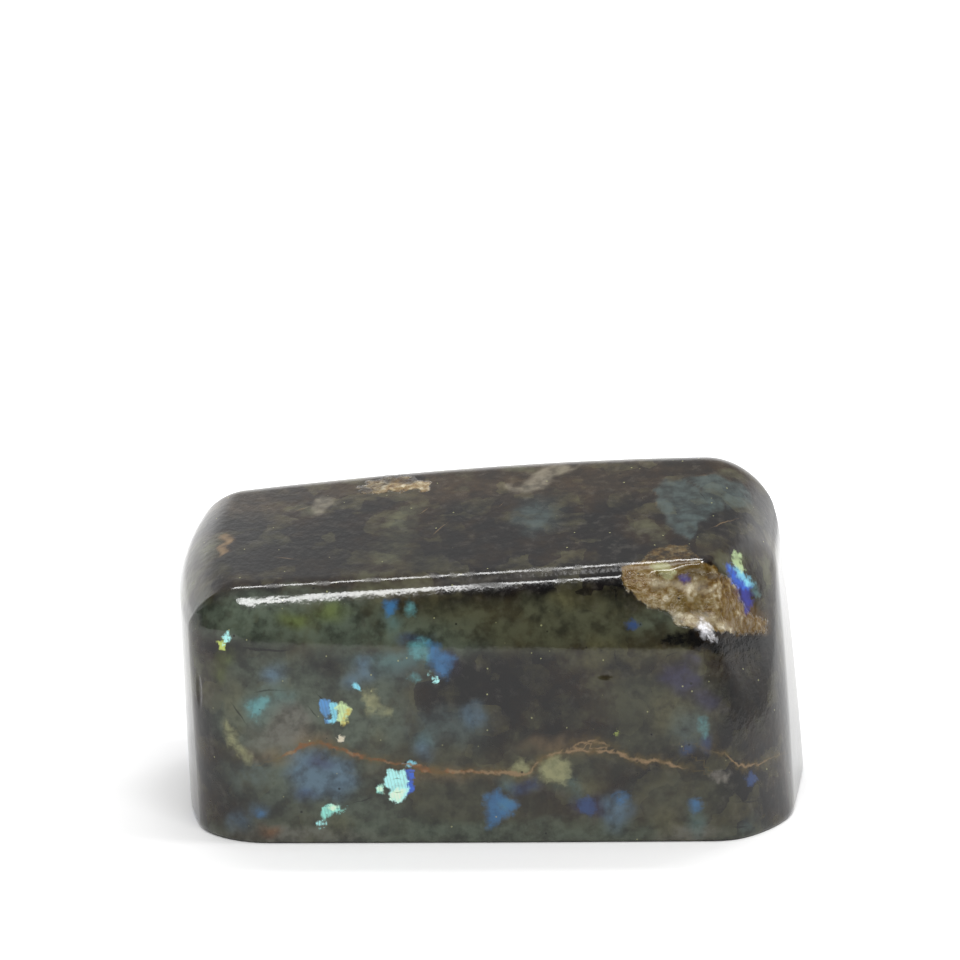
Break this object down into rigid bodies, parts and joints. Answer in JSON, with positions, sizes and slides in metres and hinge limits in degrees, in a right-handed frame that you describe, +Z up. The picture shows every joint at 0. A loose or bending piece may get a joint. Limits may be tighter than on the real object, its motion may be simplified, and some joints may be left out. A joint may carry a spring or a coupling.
{
  "type": "polished labradorite freeform block",
  "caption": "Polished freeform block of labradorite feldspar that stands on a sawn flat base, with a brow along its front, soft arrises, a rough gold pocket and blue-green flashes.",
  "frame": {"origin": "middle of the base, on the surface that the block stands on", "axes": "+Z up, +X along the length, and the broad front looks along -Y"},
  "size_m": [0.111, 0.0574, 0.0573],
  "materials": {
    "polished_labradorite": "polished stone, dark grey-green with blue, teal and gold flashes"
  },
  "bodies": {
    "root": {"labradorite_block": "polished_labradorite"}
  },
  "joints": []
}
